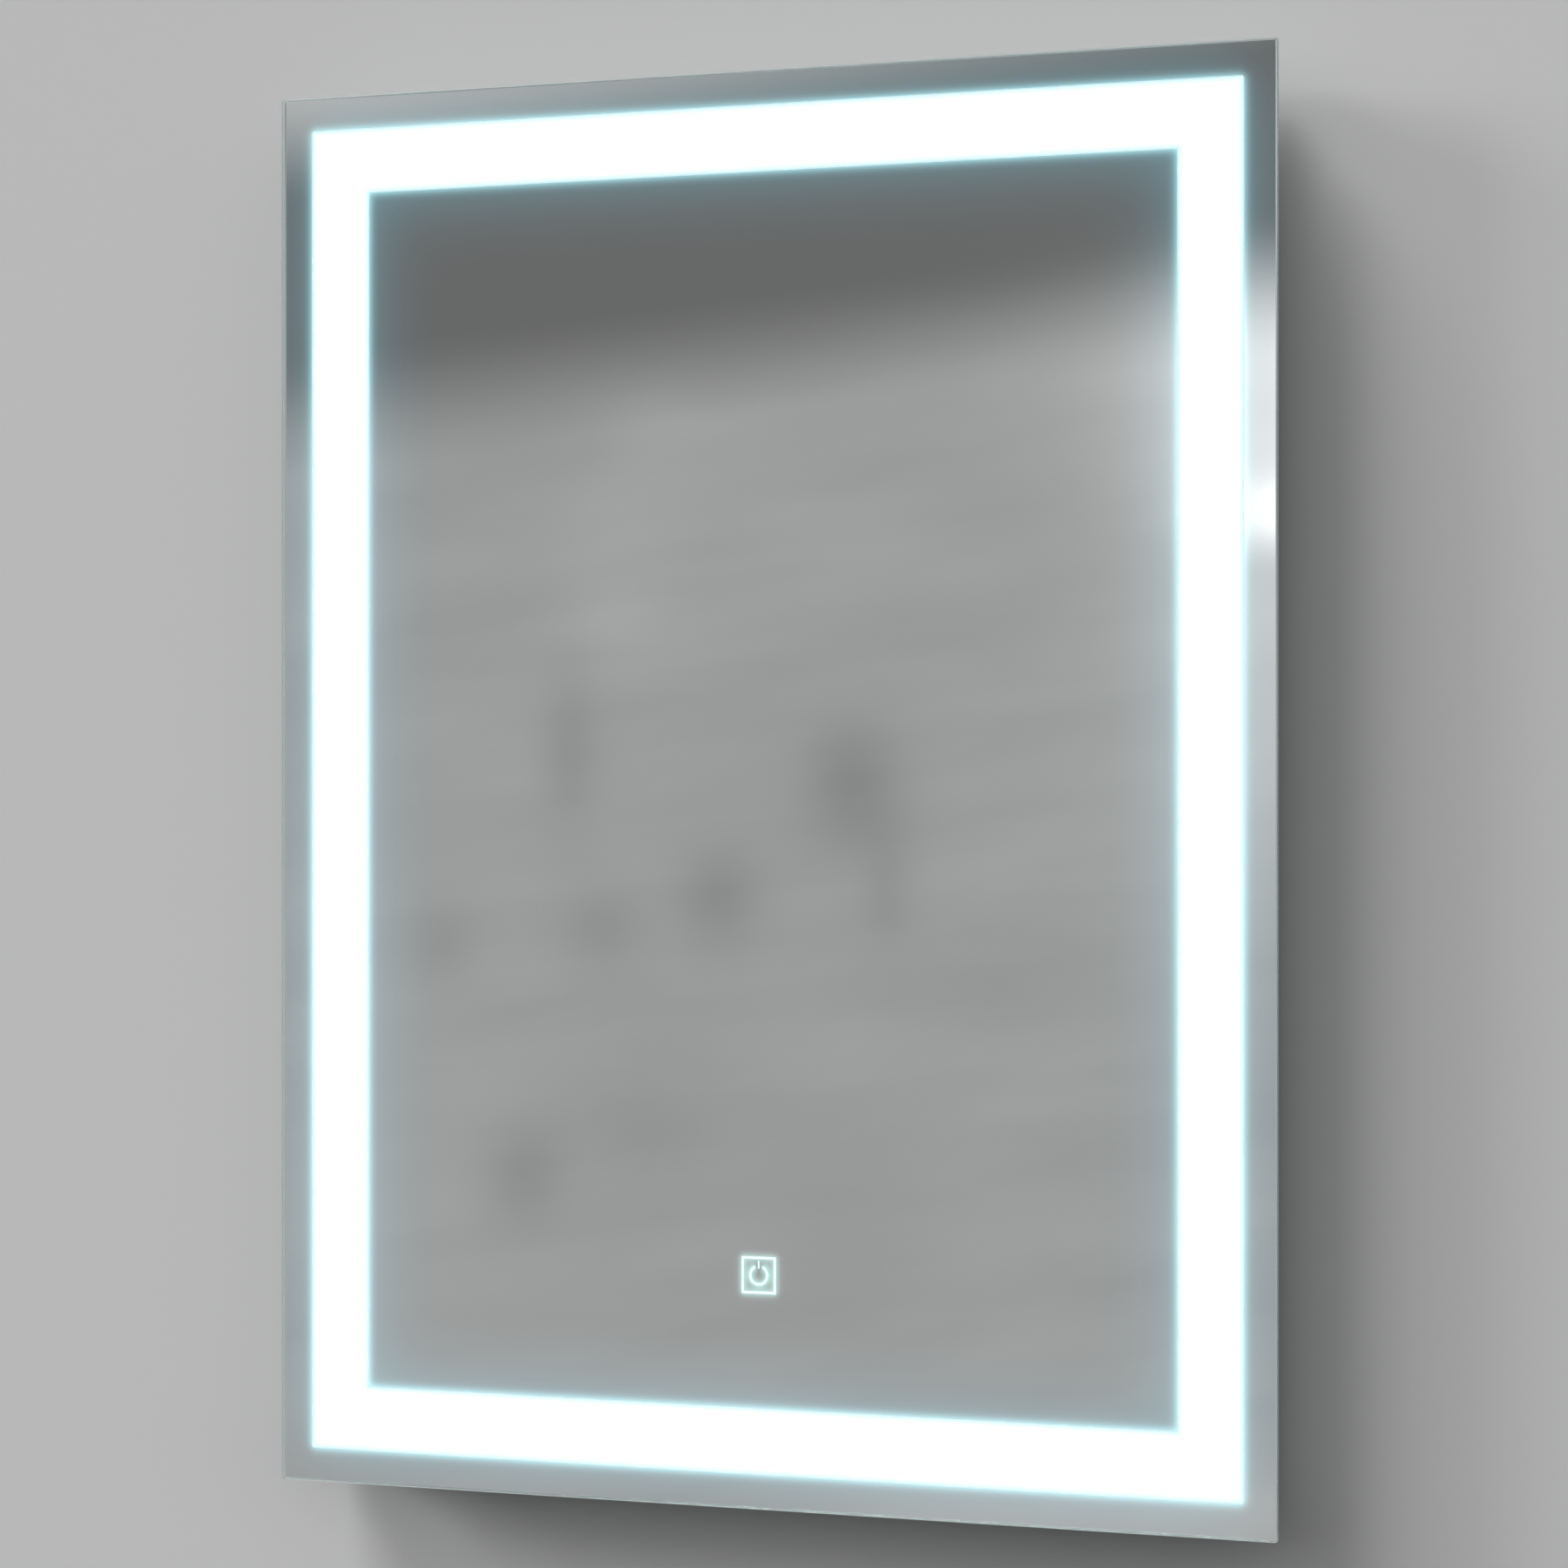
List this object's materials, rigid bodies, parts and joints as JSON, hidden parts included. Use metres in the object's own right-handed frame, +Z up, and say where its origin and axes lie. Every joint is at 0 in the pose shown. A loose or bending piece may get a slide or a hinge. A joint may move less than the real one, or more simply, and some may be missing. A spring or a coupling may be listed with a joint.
{
  "type": "lighted bathroom mirror",
  "caption": "Upright rectangular wall mirror with a lit band etched inside its edge, a touch mark near the bottom and a hanging rail that it lifts off.",
  "frame": {"origin": "on the wall plane, midway between the wall rail's two round screw holes", "axes": "+Z up along the mirror's long side, +Y into the wall, so the mirror faces -Y, and +X to the viewer's right"},
  "size_m": [0.6, 0.0438, 0.8],
  "materials": {
    "box_plastic": "moulded, light grey",
    "brass": "machined",
    "circuit_board": "green solder mask",
    "clip_plastic": "natural nylon",
    "component_dark": "moulded",
    "copper_pad": "tinned copper",
    "cover_steel": "galvanised sheet",
    "driver_plastic": "moulded, white",
    "etched_glass": "etched satin, lit from behind",
    "fixing_steel": "bright zinc",
    "foam_tape": "foam tape",
    "frame_plastic": "white moulded",
    "key_zinc": "zinc-plated steel strip",
    "lead_earth": "green with a yellow stripe",
    "lead_grey": "extruded sheath",
    "lead_white": "extruded sheath",
    "led_body": "yellow phosphor over white housing",
    "module_plastic": "black moulded",
    "opal_plastic": "opal satin",
    "pane_glass": "clear float glass with ground edges",
    "rail_steel": "zinc-plated folded strip",
    "rubber_black": "matt black rubber",
    "silvering": "silvered, polished",
    "strip_board": "white flexible circuit board",
    "terminal_plastic": "natural nylon",
    "trough_aluminium": "natural anodised extrusion"
  },
  "bodies": {
    "wall_rail": {"wall_rail": "rail_steel"},
    "mirror": {"back_cover": "cover_steel", "bonding_tape": "foam_tape", "cable_grommet": "rubber_black", "corner_keys": "key_zinc", "cover_screws": "fixing_steel", "diffuser_bottom": "opal_plastic", "diffuser_left": "opal_plastic", "diffuser_right": "opal_plastic", "diffuser_top": "opal_plastic", "driver_base": "driver_plastic", "driver_board": "circuit_board", "driver_components": "component_dark", "driver_cover": "driver_plastic", "driver_screws": "fixing_steel", "earth_lead": "lead_earth", "earth_nut_and_washer": "fixing_steel", "earth_stud": "fixing_steel", "etched_band": "etched_glass", "glass_pane": "pane_glass", "hanger": "rail_steel", "hanger_rivets": "fixing_steel", "lead_clips": "clip_plastic", "leds_bottom": "led_body", "leds_left": "led_body", "leds_right": "led_body", "leds_top": "led_body", "light_strip_bottom": "strip_board", "light_strip_left": "strip_board", "light_strip_right": "strip_board", "light_strip_top": "strip_board", "silver_border": "silvering", "silver_field": "silvering", "strip_jumpers": "lead_white", "strip_lead": "lead_white", "supply_lead": "lead_white", "terminal_block": "terminal_plastic", "terminal_box": "box_plastic", "terminal_clamp_screws": "fixing_steel", "terminal_lid": "box_plastic", "terminal_lid_screws": "fixing_steel", "terminal_sleeves": "brass", "touch_board": "circuit_board", "touch_cover": "module_plastic", "touch_lead": "lead_grey", "touch_leds": "led_body", "touch_light_frame": "frame_plastic", "touch_mark": "etched_glass", "touch_sensor_pad": "copper_pad", "touch_tape": "foam_tape", "trough_bottom": "trough_aluminium", "trough_left": "trough_aluminium", "trough_right": "trough_aluminium", "trough_top": "trough_aluminium", "wall_bumpers": "rubber_black"}
  },
  "joints": [
    {"name": "lift_off", "type": "slide", "parent": "wall_rail", "child": "mirror", "axis": [0, 0, 1], "range_m": [0, 0.014]}
  ]
}
